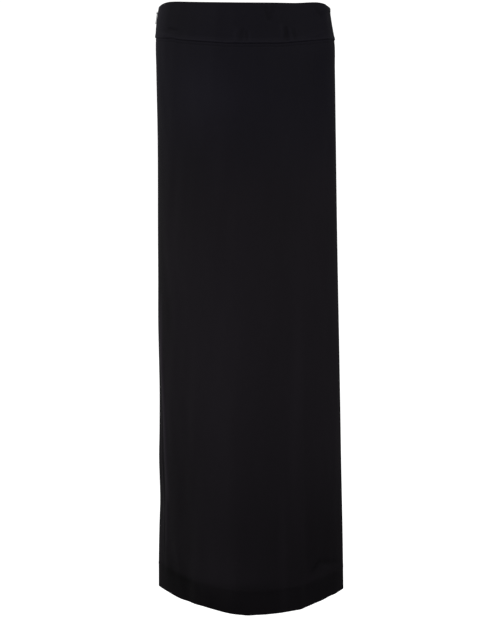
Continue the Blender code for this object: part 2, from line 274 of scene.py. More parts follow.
world = bpy.data.worlds.new("room")
room = Shading(world)
towards = room.node("SeparateXYZ", {"Vector": room.node("TexCoord")["Generated"]})
strength = AIR + AIR_ABOVE * towards["Z"].at_least(0.0)
strength = strength + AIR_LEFT * (towards["X"] * -1.0).at_least(0.0)
behind_left = towards["Y"] - BEHIND_TO_LEFT * towards["X"]
strength = strength + AIR_BEHIND * behind_left.at_least(0.0)
lit = room.node("Background", {"Color": AIR_COLOUR, "Strength": strength})
seen = room.node("Background", {"Color": AIR_COLOUR, "Strength": AIR_SEEN})
by_viewer = room.node("LightPath")["Is Camera Ray"]
both = room.node("MixShader", {0: by_viewer, 1: lit["Background"], 2: seen["Background"]})
room.join(room.tree.nodes["World Output"].inputs["Surface"], both["Shader"])
scene.world = world
scene.view_settings.view_transform = "Standard"


# ---- The black crepe
# A matte, heavy crepe, woven plain from hard-twisted yarn, which makes its face pebbly.
# It is dyed black, with a cool cast that warms down the skirt. Painted light and shade
# lighten it from the waist to the middle and darken it towards the hem. Where it is
# doubled no light comes through, and painted shade makes it darker there. Creases carry
# painted highlights on their crests and painted shade in their troughs.

CREPE_COOL = (0.0169, 0.0154, 0.0232, 1)
CREPE_WARM = (0.0178, 0.0152, 0.0194, 1)
CREPE_DEEP = (0.0020, 0.0017, 0.0022, 1)
COOL_ABOVE, WARM_BELOW = 0.98, 0.72
PEBBLES_PER_METRE = 1150
SLUBS_PER_METRE = 260.0
CLOUDS_PER_METRE = 11.0
YARNS_PER_METRE = 2200
CREPE_ROUGHNESS = 0.66
CREPE_RELIEF = 0.00045
FADES_ABOVE, FADES_BELOW = 0.012, 0.009

# How full the colour looks, from 0 to 1: a share at the top, and the painted light and
# shade that each stretch of the cloth adds between two heights above the hem. Painted
# shade makes doubled cloth look less full, and its edge fades a little above and below.
# Clouds and pebbles vary it.
DYE_AT_TOP = 0.70
Stretch = namedtuple("Stretch", "start end adds")
LIGHT_AND_SHADE_DOWN = [Stretch(1.02, 0.80, 0.12), Stretch(0.88, 0.62, 0.15), Stretch(0.46, 0.06, -0.34)]
DOUBLED_SHADE = -0.19
DYE_CLOUDS = 0.26
DYE_PEBBLES = 0.30


def crepe(name, doubled_below):
    """The crepe of one piece. Its UV map gives metres across and metres up from the
    piece's foot; the cloth is doubled up to doubled_below. Pebbles, slubs and clouds
    are longer up the cloth than across it."""
    cloth = Finish(name, Specular_IOR_Level=0.08, Sheen_Weight=0.009, Sheen_Roughness=0.45)
    uv = cloth.node("UVMap", uv_map="cloth")["UV"]
    height = cloth.node("SeparateXYZ", {"Vector": uv})["Y"]
    # The "tone" attribute carries painted highlights and painted shade from creases, patches and
    # seams.
    tone = cloth.node("Attribute", attribute_name="tone")["Fac"]
    pebbles = cloth.noise(cloth.stretched(uv, 1.0, 0.62, 1.0), PEBBLES_PER_METRE, 3.0, 0.55)
    slubs = cloth.noise(cloth.stretched(uv, 1.0, 0.25, 1.0), SLUBS_PER_METRE)
    clouds = cloth.noise(cloth.stretched(uv, 1.0, 0.45, 1.0), CLOUDS_PER_METRE, 3.0)
    weave = cloth.ribs(uv, "X", YARNS_PER_METRE, 3.0) + cloth.ribs(uv, "Y", YARNS_PER_METRE, 3.0)
    doubled = cloth.ramp(height, doubled_below + FADES_ABOVE, doubled_below - FADES_BELOW)
    colour = cloth.mix(cloth.ramp(height, COOL_ABOVE, WARM_BELOW), CREPE_COOL, CREPE_WARM)
    # The share holds painted light and shade: lighter from the waist to the middle, darker towards
    # the hem, painted shade on doubled cloth, and the tone's painted highlights and shade.
    full = DYE_AT_TOP
    for stretch in LIGHT_AND_SHADE_DOWN:
        full = full + stretch.adds * cloth.ramp(height, stretch.start, stretch.end)
    full = full + DOUBLED_SHADE * doubled + tone
    full = full + (clouds - 0.5) * DYE_CLOUDS + (pebbles - 0.5) * DYE_PEBBLES
    cloth.feed("Base Color", cloth.mix(full, CREPE_DEEP, colour))
    cloth.feed("Roughness", CREPE_ROUGHNESS + (pebbles - 0.5) * 0.16 + (slubs - 0.5) * 0.10)
    cloth.bump(pebbles * 0.90 + slubs * 0.25 + weave * 0.07, 0.55, CREPE_RELIEF)
    return cloth.material


# ---- The form of the skirt
# The front and back halves meet at the two side seams. Round at the waist, they
# flatten gradually into two shallow arcs at the hem. Broad soft folds hang from
# the hips, and the smaller creases come from wearing, pressing and sewing.

CLOTH = 0.0012
SEAM_BITE = 0.0001
HALF_CUT = 0.203
FRONT, BACK = -1, 1


def table(kind, *rows):
    """Plain rows of numbers, with the names of the columns that their kind gives."""
    return [kind(*row) for row in rows]


# below: under the top edge. half_width: from the middle to a side seam. front and
# back: how far each half stands out. roundness: 2 is an ellipse, 1 is two arcs.
# middle: how far the level hangs to +X.
Level = namedtuple("Level", "below half_width front back roundness middle")
LEVELS = table(
    Level,
    (0, 0.147, 0.106, 0.106, 1.88, 0.0006),
    (0.012, 0.1492, 0.1066, 0.1068, 1.87, 0.0006),
    (0.025, 0.1514, 0.1074, 0.108, 1.86, 0.0004),
    (0.043, 0.1542, 0.1081, 0.1098, 1.84, 0.0006),
    (0.07, 0.1576, 0.1089, 0.1122, 1.81, 0.0022),
    (0.12, 0.1584, 0.1103, 0.116, 1.77, 0.0031),
    (0.23, 0.1595, 0.1131, 0.1202, 1.69, 0.0049),
    (0.43, 0.1632, 0.1185, 0.1214, 1.54, 0.0066),
    (0.64, 0.1671, 0.1241, 0.124, 1.39, 0.0093),
    (0.84, 0.171, 0.1296, 0.1288, 1.24, 0.0117),
    (1, 0.1747, 0.1338, 0.1332, 1.13, 0.013),
    (1.11, 0.1775, 0.1366, 0.1366, 1.05, 0.0131),
)

# Where an edge or seam runs under the top level: at the middle of the front, at
# the side seams and at the middle of the back. turn: a power of the distance
# across. right_lower: what the +X side hangs lower. sways: how it strays from that,
# each by so much lower round a place.
Edge = namedtuple("Edge", "front side back turn right_lower sways")
Sway = namedtuple("Sway", "place spread lower")
FRONT_TOP_SWAYS = table(Sway, (-0.15, 0.45, -0.0006), (0.47, 0.15, 0.001))
BACK_TOP_SWAYS = table(Sway, (-0.35, 0.25, 0.0007), (0.3, 0.3, -0.0006))
TOP_SWAYS = {FRONT: FRONT_TOP_SWAYS, BACK: BACK_TOP_SWAYS}
FRONT_SEAM_SWAYS = table(
    Sway,
    (-0.95, 0.13, 0.0029),
    (-0.655, 0.05, -0.0014),
    (-0.15, 0.05, 0.0008),
    (0.3, 0.12, 0.0012),
    (1, 0.13, 0.0046),
)
BACK_SEAM_SWAYS = table(Sway, (-0.95, 0.13, 0.0029), (0.2, 0.25, -0.001), (1, 0.13, 0.0046))
SEAM_SWAYS = {FRONT: FRONT_SEAM_SWAYS, BACK: BACK_SEAM_SWAYS}
FRONT_HEM_SWAYS = table(
    Sway,
    (-0.7, 0.085, 0.0013),
    (-0.4, 0.13, -0.0019),
    (-0.03, 0.06, 0.0011),
    (0.33, 0.09, 0.0005),
    (0.48, 0.09, 0.002),
    (0.79, 0.07, -0.0007),
)
BACK_HEM_SWAYS = table(Sway, (-0.55, 0.12, -0.0014), (-0.12, 0.14, 0.0012), (0.5, 0.16, -0.001))
HEM_SWAYS = {FRONT: FRONT_HEM_SWAYS, BACK: BACK_HEM_SWAYS}
TOP_EDGE = Edge(0, 0.0122, 0.0122, 16, 0.0005, TOP_SWAYS)
BAND_SEAM = Edge(0.0682, 0.0638, 0.0662, 1.4, 0.0012, SEAM_SWAYS)
HEM_EDGE = Edge(1.1016, 1.1044, 1.1016, 2, 0.0028, HEM_SWAYS)

# Broad folds. place: -1 at the -X side seam, 1 at the +X one. drift: its change
# from start to end. spread: half its width. rise: outwards, or inwards below 0.
Fold = namedtuple("Fold", "place drift spread rise start end")
FRONT_FOLDS = table(
    Fold,
    (-0.94, 0.07, 0.03, 0.0014, 0.5, 1.02),
    (-0.62, 0.02, 0.09, -0.0018, 0.42, 1.1),
    (-0.15, 0.02, 0.08, 0.0024, 0.46, 1.11),
    (0.22, 0.07, 0.095, -0.0026, 0.42, 1.05),
    (0.425, 0.005, 0.042, 0.0021, 0.48, 1.12),
    (0.52, -0.015, 0.045, -0.0018, 0.52, 1.1),
    (0.88, -0.02, 0.05, 0.0012, 0.7, 1.12),
)
BACK_FOLDS = table(
    Fold,
    (-0.78, 0.03, 0.06, 0.0018, 0.5, 1.1),
    (-0.47, -0.02, 0.1, -0.0026, 0.36, 1.11),
    (-0.12, -0.02, 0.07, 0.0024, 0.46, 1.12),
    (0.21, 0.03, 0.085, -0.0022, 0.52, 1.1),
    (0.49, 0.02, 0.06, 0.002, 0.44, 1.11),
    (0.81, -0.01, 0.07, -0.0016, 0.62, 1.12),
)
FOLDS = {FRONT: FRONT_FOLDS, BACK: BACK_FOLDS}

# A side seam never hangs quite straight. end: -1 for the -X seam, 1 for the +X one.
# out: how far the seam bows outwards there, or inwards below 0.
Bow = namedtuple("Bow", "end below spread out")
BOWS = table(
    Bow,
    (-1, 0.575, 0.058, 0.0008),
    (-1, 0.712, 0.055, -0.0007),
    (-1, 0.838, 0.034, 0.001),
    (-1, 0.925, 0.034, -0.0011),
    (-1, 1.035, 0.06, 0.0009),
    (1, 0.0155, 0.005, 0.0011),
    (1, 0.86, 0.09, -0.0003),
)

# Small creases, each a soft ridge or trough from one point of the cloth to
# another. width is half its width in metres. tone: how much a painted highlight
# makes its crest paler, or, below 0, how much painted shade makes it deeper.
Crease = namedtuple("Crease", "place below to_place to_below width rise tone", defaults=[0.0])
FRONT_CREASES = table(
    Crease,
    (-0.946, 0.52, -0.829, 0.92, 0.0044, 0.0019, 1.25),
    (-0.902, 0.52, -0.906, 0.66, 0.0044, 0, 0.95),
    (-0.858, 0.86, -0.852, 1.01, 0.004, 0.001, 0.5),
    (-0.914, 0.72, -0.882, 0.93, 0.0034, -0.0009, -0.34),
    (-0.934, 0.74, -0.902, 0.99, 0.003, 0.0007, 0.34),
    (-0.962, 0.68, -0.93, 0.96, 0.003, -0.0006, -0.4),
    (-0.885, 0.95, -0.878, 1.03, 0.003, -0.0007, -0.3),
    (-0.34, 0.206, -0.05, 0.2055, 0.005, -0.00035),
    (-0.45, 0.262, -0.24, 0.268, 0.006, 0.00022),
    (0.12, 0.148, 0.33, 0.14, 0.006, 0.00018),
    (-0.078, 0.067, -0.058, 0.043, 0.0034, 0.001, 0.1),
    (-0.034, 0.0675, -0.012, 0.043, 0.0032, -0.0011, -0.14),
    (0.016, 0.0675, 0.022, 0.047, 0.0026, -0.0009, -0.12),
    (0.038, 0.067, 0.048, 0.048, 0.0028, 0.0008, 0.08),
    (0.298, 0.066, 0.312, 0.036, 0.0034, 0.0011, 0.14),
    (0.345, 0.066, 0.352, 0.04, 0.0032, -0.0013, -0.2),
    (0.392, 0.0665, 0.384, 0.043, 0.0032, 0.0009, 0.1),
    (0.425, 0.0665, 0.412, 0.043, 0.003, -0.0009, -0.14),
    (0.18, 0.006, 0.204, 0.032, 0.0038, -0.0008, -0.14),
    (0.25, 0.006, 0.208, 0.033, 0.0038, -0.0007, -0.12),
    (0.64, 0.008, 0.76, 0.03, 0.004, -0.0007, -0.12),
    (-0.705, 0.0465, -0.575, 0.049, 0.0028, -0.001, -0.12),
    (-0.86, 0.0555, -0.64, 0.059, 0.0032, 0.0008, 0.06),
    (0.56, 0.0575, 0.76, 0.054, 0.0034, 0.0006),
    (0.3, 0.98, 0.33, 1.06, 0.008, 0.0006),
    (0.54, 1.042, 0.645, 1.018, 0.0042, -0.0011, -0.24),
    (0.61, 1.021, 0.96, 1.049, 0.0046, -0.0011, -0.18),
    (0.64, 1.037, 0.79, 1.044, 0.0046, 0.0008, 0.14),
    (-0.96, 1.052, -0.43, 1.06, 0.0058, -0.0006, -0.15),
    (-0.74, 0.985, -0.68, 1.048, 0.007, 0.0006),
)
BACK_CREASES = table(
    Crease,
    (-0.88, 0.62, -0.93, 0.96, 0.0046, 0.0016, 0.4),
    (-0.33, 0.15, -0.05, 0.158, 0.006, -0.00035),
    (0.08, 0.228, 0.34, 0.221, 0.006, 0.00026),
    (-0.21, 0.065, -0.196, 0.044, 0.0032, 0.0009, 0.1),
    (-0.165, 0.0655, -0.158, 0.046, 0.003, -0.001, -0.14),
    (0.115, 0.065, 0.128, 0.042, 0.0034, 0.0009, 0.1),
    (0.16, 0.065, 0.168, 0.045, 0.0032, -0.0011, -0.16),
    (0.54, 0.065, 0.526, 0.044, 0.0032, 0.0008, 0.08),
    (-0.6, 0.018, -0.56, 0.042, 0.0036, -0.0008, -0.12),
    (0.905, 0.56, 0.88, 0.86, 0.005, 0.0013, 0.25),
    (-0.35, 0.97, -0.38, 1.06, 0.008, -0.0007),
    (0.31, 0.99, 0.35, 1.055, 0.007, 0.0006),
)
CREASES = {FRONT: FRONT_CREASES, BACK: BACK_CREASES}

# Broad, faint patches that make the cloth look a little paler or, below 0, a little
# deeper. On the front they are painted light and painted shade. wide: on the scale of
# place. long: in metres.
Patch = namedtuple("Patch", "place below wide long tone")
FRONT_PATCHES = table(
    Patch,
    (-0.6, 0.02, 0.2, 0.04, -0.2),
    (0.3, 0.03, 0.25, 0.04, -0.08),
    (-0.95, 0.03, 0.12, 0.06, 0.4),
    (-0.36, 0.16, 0.26, 0.055, 0.24),
    (-0.6, 0.31, 0.28, 0.11, -0.15),
    (-0.95, 0.5, 0.16, 0.25, -0.48),
    (-0.77, 0.555, 0.06, 0.065, -0.25),
    (0.7, 0.32, 0.3, 0.08, 0.1),
    (-0.12, 0.6, 0.15, 0.2, 0.08),
    (-0.02, 0.74, 0.12, 0.1, -0.08),
    (0.42, 0.7, 0.05, 0.23, 0.12),
    (0.55, 0.82, 0.25, 0.07, 0.06),
    (0.36, 0.82, 0.04, 0.1, 0.13),
    (-0.74, 0.86, 0.11, 0.17, -0.17),
    (-0.59, 0.82, 0.06, 0.26, -0.13),
    (-0.25, 0.78, 0.2, 0.24, 0.13),
    (0.27, 0.98, 0.035, 0.13, 0.16),
    (0.72, 1.02, 0.24, 0.11, -0.14),
    (-0.18, 1.03, 0.26, 0.055, 0.16),
    (-0.78, 1.045, 0.14, 0.022, -0.11),
    (-0.4, 1.068, 0.4, 0.014, -0.16),
    (-0.05, 1.05, 0.26, 0.01, -0.15),
    (0.66, 1.052, 0.22, 0.012, 0.12),
    (-0.84, 1.08, 0.22, 0.06, -0.24),
    (-0.36, 1.11, 0.36, 0.035, -0.34),
)
BACK_PATCHES = table(
    Patch,
    (-0.95, 0.5, 0.16, 0.25, -0.3),
    (0.72, 0.17, 0.24, 0.08, 0.1),
    (0.18, 0.24, 0.22, 0.09, -0.08),
    (-0.5, 0.36, 0.26, 0.1, 0.09),
    (0.44, 0.56, 0.18, 0.15, -0.1),
    (-0.22, 0.64, 0.1, 0.19, 0.09),
    (-0.74, 0.78, 0.14, 0.12, -0.08),
    (0.2, 0.9, 0.08, 0.12, 0.08),
    (0.8, 1.07, 0.2, 0.06, -0.14),
)
PATCHES = {FRONT: FRONT_PATCHES, BACK: BACK_PATCHES}


def bell(distance, spread):
    """1 at no distance and less away from it: e to the minus (distance / spread)**2."""
    return np.exp(-((distance / spread) ** 2))


def through(rows, column, below):
    """The smooth curve through one column of a table: a cubic between each two rows,
    with the slope at each row that its neighbours give."""
    depths = np.array([row.below for row in rows])
    values = np.array([getattr(row, column) for row in rows])
    slopes = np.gradient(values, depths)
    first = np.clip(np.searchsorted(depths, below) - 1, 0, len(depths) - 2)
    step = depths[first + 1] - depths[first]
    t = np.clip((below - depths[first]) / step, 0, 1)
    start = values[first] * (2 * t**3 - 3 * t**2 + 1)
    start = start + slopes[first] * step * (t**3 - 2 * t**2 + t)
    end = values[first + 1] * (3 * t**2 - 2 * t**3)
    return start + end + slopes[first + 1] * step * (t**3 - t**2)


def even_angles(place, level, steps=720):
    """Angles round the front half at a level, from -90 to 90 degrees, at which even
    steps of place lie even distances apart along the cloth."""
    angle = np.linspace(-np.pi / 2, np.pi / 2, steps + 1)
    x = level.half_width * np.sin(angle)
    y = level.front * np.cos(angle).clip(0) ** (2 / level.roundness)
    length = np.concatenate([[0], np.cumsum(np.hypot(np.diff(x), np.diff(y)))])
    return np.interp(place, 2 * length / length[-1] - 1, angle)


def across(place, below):
    """How far across the skirt a place lies, -1 to 1: the sine of an angle that turns
    from the even one at the waist into the even one at the hem."""
    top, low = even_angles(place, LEVELS[0]), even_angles(place, LEVELS[-1])
    return np.sin(top + (low - top) * np.clip(below / LEVELS[-1].below, 0, 1))


def edge_below(edge, side, place):
    """How far down an edge or seam runs: its middle's level, and towards the side
    seams their level, by a power of the distance across. Each sway adds a bell."""
    x = across(place, edge.side)
    middle = edge.front if side == FRONT else edge.back
    below = middle + (edge.side - middle) * np.abs(x) ** edge.turn + edge.right_lower * x
    for sway in edge.sways[side]:
        below = below + sway.lower * bell(place - sway.place, sway.spread)
    return below


def plain_surface(side, place, below):
    """The outer face without folds: x = half_width * a and y = depth * (1 - a * a)
    to the power 1 / roundness, where a is the distance across, -1 to 1. To x each
    bow of the seams adds a bell down its length, which fades as a to the fourth."""
    a = across(place, below)
    depth = through(LEVELS, "front" if side == FRONT else "back", below)
    x = through(LEVELS, "middle", below) + through(LEVELS, "half_width", below) * a
    for bow in BOWS:
        x = x + bow.end * bow.out * bell(below - bow.below, bow.spread) * (bow.end * a).clip(0) ** 4
    y = side * depth * (1 - a * a).clip(0) ** (1 / through(LEVELS, "roundness", below))
    return np.stack([x, y, -below], axis=-1)


# A normal is taken from points a step apart, and no nearer to a side seam than this.
STEP = 0.001
BESIDE_SEAM = 0.992
MITRE_LIMIT = 0.4


def outward(side, place, below):
    """The normal, from differences along and down the surface. Over the last 1.6 mm
    before a side seam it turns evenly into the mitre, which points along X."""
    at = np.clip(place, -BESIDE_SEAM, BESIDE_SEAM)
    along = plain_surface(side, at + STEP, below) - plain_surface(side, at - STEP, below)
    down = plain_surface(side, at, below + STEP) - plain_surface(side, at, below - STEP)
    normal = np.cross(along, down) * side
    normal /= np.linalg.norm(normal, axis=-1, keepdims=True)
    mitre = np.sign(place)[..., None] * np.array([1.0, 0, 0])
    mitre = mitre / np.abs(normal[..., :1]).clip(MITRE_LIMIT)
    turned = np.clip((np.abs(place) - BESIDE_SEAM) / (1 - BESIDE_SEAM), 0, 1)[..., None]
    return normal + (mitre - normal) * turned


# How steeply a fold fades in and out, and where it ends, as shares of its length.
FOLD_FADE_IN, FOLD_FADE_OUT = 2.2, 6.0
FOLD_END = 1.1


def fold_rise(side, place, below):
    """What the broad folds add outwards: a bell across each, which fades in over the
    first part of its length and out again round its end."""
    rise = np.zeros(place.shape)
    for fold in FOLDS[side]:
        share = (below - fold.start) / (fold.end - fold.start)
        fade = np.clip(share * FOLD_FADE_IN, 0, 1)
        fade = fade * np.clip((FOLD_END - share) * FOLD_FADE_OUT, 0, 1)
        fade = fade * fade * (3 - 2 * fade)
        where = fold.place + fold.drift * share
        rise += fold.rise * fade * bell(place - where, fold.spread)
    return rise * (1 - place**8)


def crease_bells(side, place, below):
    """For each crease, its bell: 1 on its line and falling away from it, times the
    root of a half wave from one end to the other."""
    for crease in CREASES[side]:
        run = np.array([crease.to_place - crease.place, crease.to_below - crease.below])
        run[0] *= HALF_CUT
        length = np.hypot(*run)
        x, y = (place - crease.place) * HALF_CUT, below - crease.below
        along = np.clip((x * run[0] + y * run[1]) / length**2, 0, 1)
        off = (x * run[1] - y * run[0]) / length
        yield crease, bell(off, crease.width) * np.sqrt(np.sin(np.pi * along).clip(0))


def painted_tone(side, place, below):
    """How much painted light makes the cloth paler, or painted shade deeper: each crease's
    bell and each patch's, which is round on its own two scales, times its tone, all added up."""
    tone = sum(crease.tone * share for crease, share in crease_bells(side, place, below))
    for patch in PATCHES[side]:
        share = bell(place - patch.place, patch.wide) * bell(below - patch.below, patch.long)
        tone = tone + patch.tone * share
    return tone


WAVE_SLANTS = (0.35, -0.22, 0.14, -0.09, 0.12, -0.17, 0.08)
WAVES_START = {FRONT: 0.8, BACK: 2.9}
FIRST_WAVE, LOWER_EACH = 0.00030, 0.00003


def unevenness(side, place, below):
    """How little the cloth is ever quite smooth: seven long waves, mostly upright, of
    0.1 to 0.3 mm. Each lies closer than the last, is lower, and swells and sinks
    along its length at a rate of its own. Beside the side seams all fade out."""
    x = place * HALF_CUT
    rise = np.zeros(place.shape)
    for k, slant in enumerate(WAVE_SLANTS):
        per_metre, swells_per_metre = 7.0 + 5.3 * k, 1.3 + 0.4 * k
        swell = 0.6 + 0.4 * np.sin(2 * np.pi * swells_per_metre * below + 2.1 * k)
        start = 1.7 * k * k + WAVES_START[side]
        wave = np.sin(2 * np.pi * per_metre * (x + slant * below) + start)
        rise += (FIRST_WAVE - LOWER_EACH * k) * swell * wave
    return rise * np.clip((1 - np.abs(place)) * 6, 0, 1)


# The seam opens round the slider's neck, which lies under the top edge. The spreads
# are how far from the seam the slit, and the halves' bite into each other, reach.
PIVOT_BELOW = 0.022
SLIT_BELOW = 0.0226
NECK_SLIT = 0.0009
NECK_REACH = 0.0024
NECK_FADE = 0.0019
SLIT_SPREAD = 0.0040
BITE_SPREAD = 0.0012


def cloth_point(side, place, below, inside):
    """A point at a depth inside the outer face: the plain surface, moved out by folds,
    by each crease's bell times its rise, and by the unevenness, less the depth. At a
    side seam the two halves press into each other, except where the seam opens round
    the slider's neck."""
    creases = sum(crease.rise * share for crease, share in crease_bells(side, place, below))
    rise = fold_rise(side, place, below) + creases
    rise += unevenness(side, place, below) - inside
    point = plain_surface(side, place, below) + outward(side, place, below) * rise[..., None]
    past_neck = (np.abs(below - SLIT_BELOW) - NECK_REACH).clip(0)
    slit = NECK_SLIT * bell(past_neck, NECK_FADE) * (place < 0)
    from_seam = (1 - np.abs(place)) * HALF_CUT
    point[..., 1] -= side * SEAM_BITE * bell(from_seam, BITE_SPREAD)
    point[..., 1] += side * slit * bell(from_seam, SLIT_SPREAD)
    return point


def round_edge(distance, radius):
    """From 0 at an edge to 1 a radius away from it, as a quarter circle rises."""
    return np.sqrt(1 - (1 - np.clip(distance / radius, 0, 1)) ** 2)


def faced_outwards(points, quads):
    """The faces, turned round if the volume that they enclose comes out negative. That
    volume is a sixth of the sum of each triangle's a . (b x c)."""
    a, b, c, d = points.reshape(-1, 3)[quads.T]
    cones = np.einsum("ij,ij->i", a, np.cross(b, c)) + np.einsum("ij,ij->i", a, np.cross(c, d))
    return quads if cones.sum() > 0 else quads[:, ::-1]


def fit(piece, node=None, body="skirt"):
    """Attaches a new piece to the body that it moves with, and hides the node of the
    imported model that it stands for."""
    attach(piece, body)
    if node:
        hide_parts(node)
    return piece


def wall(name, side, place, below, depth, thick, cut, tone, material, node=None, tilt=0.0):
    """A closed skin of crepe. Its spine lies at a depth inside the outer face, and its
    two faces half a thickness, thick, to either side: square to the cloth or, where it
    turns over, at a tilt. At its borders thick is 0. The UV map "cloth" gives a point's
    place on the cut, across and up in metres; "tone" is for the crepe's colour."""
    points = []
    for way in (1, -1):
        level = below + way * thick * np.sin(tilt)
        points.append(cloth_point(side, place, level, depth - way * thick * np.cos(tilt)))
    points = np.stack(points)
    number = numbered(points[0])
    behind = number + number.size
    behind[0], behind[-1] = number[0], number[-1]
    behind[:, 0], behind[:, -1] = number[:, 0], number[:, -1]
    quads = np.concatenate([grid_faces(number), grid_faces(behind)[:, ::-1]])
    quads = faced_outwards(points, quads)
    piece = new_piece(name, points, quads, material)
    flat = np.stack(cut, axis=-1).reshape(-1, 2)[quads.ravel() % number.size]
    piece.data.uv_layers.new(name="cloth").data.foreach_set("uv", flat.ravel())
    tone = np.append(tone, np.zeros(tone.size))[np.unique(quads)]
    piece.data.attributes.new("tone", "FLOAT", "POINT").data.foreach_set("value", tone)
    return fit(piece, node)


# ---- The front and back panels
# Each is one length of crepe from the waistband's seam to the hem, where 47 mm
# are turned up inside and caught by hand. Steam presses the turned edge's line
# faintly through to the face. The side seams are plain and pressed open.

HEM_TURN_UP = 0.047
HEM_SLOT = 0.0004
STITCHES_UNDER_SEAM = 0.0052
UNDER_BAND = 0.0006
EVEN_COLUMNS = 106
FINE_COLUMNS = 24
FINE_STEP = 0.0013
PANEL_ROWS = 176
TURN_UP_ROWS = 9
BEND_ROWS = 8
PANEL_TOP_WIDTH = 0.419
PANEL_HEM_WIDTH = 0.468
HEM_LEAN = 0.0012
PRESSED_LINE, PRESSED_SPREAD = 0.00030, 0.0042
STITCH_DIP, STITCH_DIP_SPREAD = 0.00030, 0.0011
# Painted light, which lightens the shade in the notch just under the waistband's seam.
SEAM_PAINTED_LIGHT, SEAM_PAINTED_LIGHT_SPREAD = 0.25, 0.0015

# Distances of rows of points from an edge: at any edge, beside a side seam, under the
# waistband and above the hem.
AT_EDGE = np.array([0, 0.04, 0.14, 0.30, 0.55, 0.90, 1.4]) / 1000
NEAR_EDGE = np.append(AT_EDGE, [0.0022, 0.0034])
NEAR_BAND = np.append(AT_EDGE, np.linspace(0.0020, 0.0090, 13))
NEAR_HEM = np.append([0.0008, 0.002, 0.006, 0.014, 0.024, 0.034], np.linspace(0.039, 0.056, 12))


def columns(count):
    """Places across a half: close together at the side seams, 1.3 mm apart beside them,
    where narrow creases run, and then even."""
    fine = NEAR_EDGE[-1] + FINE_STEP * np.arange(1, FINE_COLUMNS + 1)
    near = np.concatenate([NEAR_EDGE, fine]) / HALF_CUT
    even = np.linspace(near[-1] - 1, 1 - near[-1], count + 1)
    return np.concatenate([near[:-1] - 1, even, 1 - near[-2::-1]])


def rows_between(top, foot, near_top, near_foot, count):
    """Levels from one edge to another, a row of them for each place: fixed distances
    near both edges and even steps in between."""
    share = np.linspace(0, 1, count + 1)[1:-1]
    first, last = top + near_top[-1], foot - near_foot[-1]
    middle = first + (last - first) * share
    return np.concatenate([top + near_top, middle, foot - near_foot[::-1]], axis=1)


def make_panel(node, side, material):
    """The spine of the wall runs down half a cloth deep, round a half circle at the
    hem and up inside. The hem leans in evenly, a bell lifts the pressed line, and
    another sinks the row of stitches."""
    place = columns(EVEN_COLUMNS)[:, None]
    half = CLOTH / 2
    turn_radius = HEM_SLOT / 2 + half
    top = edge_below(BAND_SEAM, side, place) - UNDER_BAND
    foot = edge_below(HEM_EDGE, side, place) - half
    down = rows_between(top, foot - turn_radius, NEAR_BAND, NEAR_HEM, PANEL_ROWS)
    angle = np.linspace(0, np.pi, BEND_ROWS + 2)[1:-1]
    bend = foot - turn_radius + turn_radius * np.sin(angle)
    near = NEAR_EDGE[-2::-1]
    up = np.linspace(0, HEM_TURN_UP - near[0], TURN_UP_ROWS + 1)[:-1]
    up = foot - turn_radius - np.concatenate([up, HEM_TURN_UP - near])
    below = np.concatenate([down, bend, up], axis=1)

    wide = np.broadcast_to(place, below.shape)
    tilt = np.concatenate([np.zeros(down.shape[1]), angle, np.full(up.shape[1], np.pi)])
    inside = half + turn_radius * (1 - np.cos(tilt))
    edge = np.minimum(np.abs(below - top), HALF_CUT)
    last = down.shape[1] + BEND_ROWS
    edge[:, last:] = below[:, last:] - below[:, -1:]
    thick = half * round_edge(edge, CLOTH) * round_edge((1 - np.abs(wide)) * HALF_CUT, CLOTH)

    above_hem = foot - below
    pressed = PRESSED_LINE * bell(above_hem - HEM_TURN_UP, PRESSED_SPREAD)
    lean = HEM_LEAN * (1 - above_hem / HEM_TURN_UP).clip(0) * (1 - wide**4)
    under_seam = below - top - UNDER_BAND
    stitched = STITCH_DIP * bell(under_seam - STITCHES_UNDER_SEAM, STITCH_DIP_SPREAD)
    depth = inside + lean + stitched - pressed
    up_cloth = np.where(np.arange(below.shape[1]) < last, above_hem, -above_hem)
    # Painted light and shade from creases and patches, and painted light that lightens the shade in
    # the notch under the waistband's seam.
    tone = painted_tone(side, wide, below) + SEAM_PAINTED_LIGHT * bell(under_seam, SEAM_PAINTED_LIGHT_SPREAD)
    tone = tone * (np.arange(below.shape[1]) < down.shape[1])
    cut = (wide * PANEL_HEM_WIDTH / 2, up_cloth)
    return wall(node + "_cloth", side, wide, below, depth, thick, cut, tone, material, node, tilt)


panel_crepe = crepe("panel_crepe", HEM_TURN_UP)
front_panel = make_panel("front_panel", FRONT, panel_crepe)
back_panel = make_panel("back_panel", BACK, panel_crepe)


# ---- The waistband
# A deep, plain band in two halves, of two layers of crepe with a firm layer
# between them. It stands a little proud of the panels. The seam allowances are
# pressed up into it and raise a low ridge along its lower edge.

BAND_CLOTH = 0.0020
BAND_PROUD = BAND_CLOTH - CLOTH
BAND_COLUMNS = 200
BAND_ROWS = 34
BAND_WIDTH = 0.419
BAND_UP_CLOTH = 1.0
ALLOWANCE = 0.0075
NEAR_SEAM = np.append(AT_EDGE, np.linspace(0.0020, 0.0100, 13))

# What shows above the seam: the allowances' ridge and its upper edge, the roll of the
# cloth over the seam, the seam's puckers, and two painted highlights, on the roll's
# upper slope and along the ridge's upper edge.
RIDGE, RIDGE_FOOT, RIDGE_EDGE = 0.00035, 0.002, 0.0008
ROLL, ROLL_FOOT, ROLL_UP, ROLL_SPREAD = 0.00050, 0.0012, 0.0022, 0.0023
PUCKER, PUCKER_SPREAD = 0.00006, 0.010
PUCKER_WAVE, PACE_WAVE, HEIGHT_WAVE = 410, 23, 57
PAINTED_HIGHLIGHTS = [(0.0034, 0.16), (ALLOWANCE + 0.0005, 0.06)]
PAINTED_HIGHLIGHT_SPREAD = 0.0012


